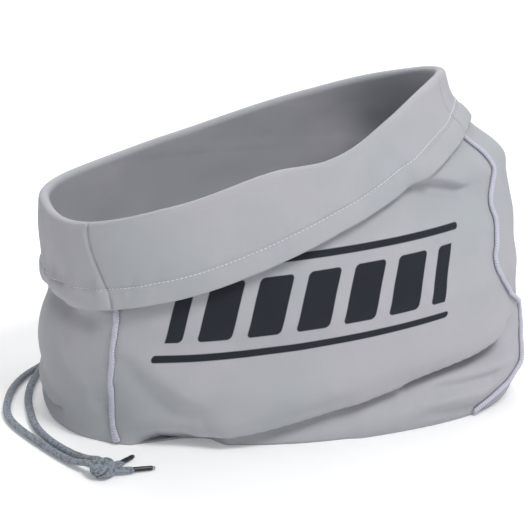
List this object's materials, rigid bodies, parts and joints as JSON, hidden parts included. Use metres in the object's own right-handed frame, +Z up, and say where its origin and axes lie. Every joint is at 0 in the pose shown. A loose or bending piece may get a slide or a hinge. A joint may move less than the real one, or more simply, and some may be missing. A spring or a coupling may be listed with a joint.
{
  "type": "motorcycle helmet bag",
  "caption": "soft open drawstring bag that holds and protects a motorcycle helmet, its mouth turned down outwards into a wide cuff, with a knotted cord",
  "frame": {"origin": "middle of the flat base, on the surface that the bag stands on", "axes": "+Z up, +X along the bag towards the end where the mouth is highest, -Y towards the front"},
  "size_m": [0.4148, 0.2714, 0.2544],
  "materials": {
    "bag_cloth": "soft matte woven polyester, light grey",
    "overlock_thread": "pale lilac grey overlock thread in close ribs",
    "braided_cord": "soft round braid of mid grey yarn",
    "tip_plastic": "smooth black plastic tip"
  },
  "bodies": {
    "root": {"front_panel": "bag_cloth", "back_panel": "bag_cloth", "left_side_seam": "overlock_thread", "right_side_seam": "overlock_thread", "drawcord_outer": "braided_cord", "drawcord_inner": "braided_cord", "drawcord_knot": "braided_cord", "drawcord_tail_1": "braided_cord", "drawcord_tail_2": "braided_cord", "aglet_1": "tip_plastic", "aglet_2": "tip_plastic"}
  },
  "joints": []
}
